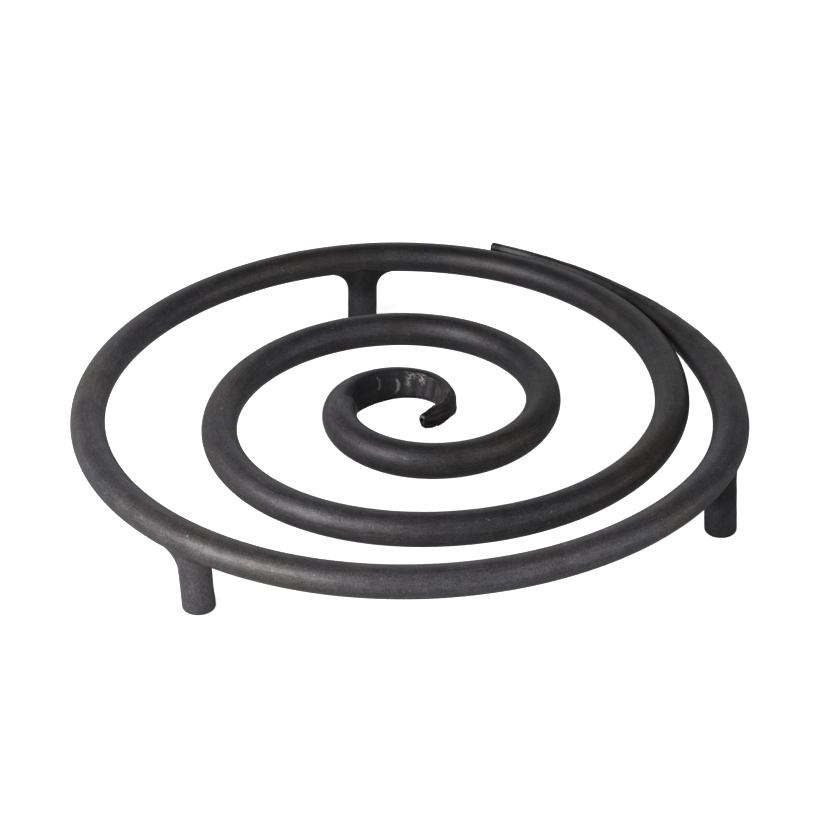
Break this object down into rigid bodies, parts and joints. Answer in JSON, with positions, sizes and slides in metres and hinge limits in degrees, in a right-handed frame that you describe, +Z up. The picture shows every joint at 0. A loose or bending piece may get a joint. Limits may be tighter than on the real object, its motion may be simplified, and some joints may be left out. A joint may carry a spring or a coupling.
{
  "type": "trivet",
  "caption": "Hand-forged black iron spiral trivet: one round bar wound flat from a small hammered eye out to a round ring, drawn out to a thin tail, on short round legs.",
  "frame": {"origin": "under the middle of the whole part, on the plane that the feet stand on", "axes": "+Z up, away from the table; +X to the right and +Y to the back, with one leg at the back, one at the front left and one at the right"},
  "size_m": [0.1994, 0.2, 0.0272],
  "materials": {
    "blackened_iron": "forged, satin black",
    "weld_metal": "welded and dressed, satin black"
  },
  "bodies": {
    "root": {"spiral_bar": "blackened_iron", "leg_front_left": "blackened_iron", "leg_right": "blackened_iron", "leg_rear": "blackened_iron", "weld_front_left": "weld_metal", "weld_right": "weld_metal", "weld_rear": "weld_metal"}
  },
  "joints": []
}
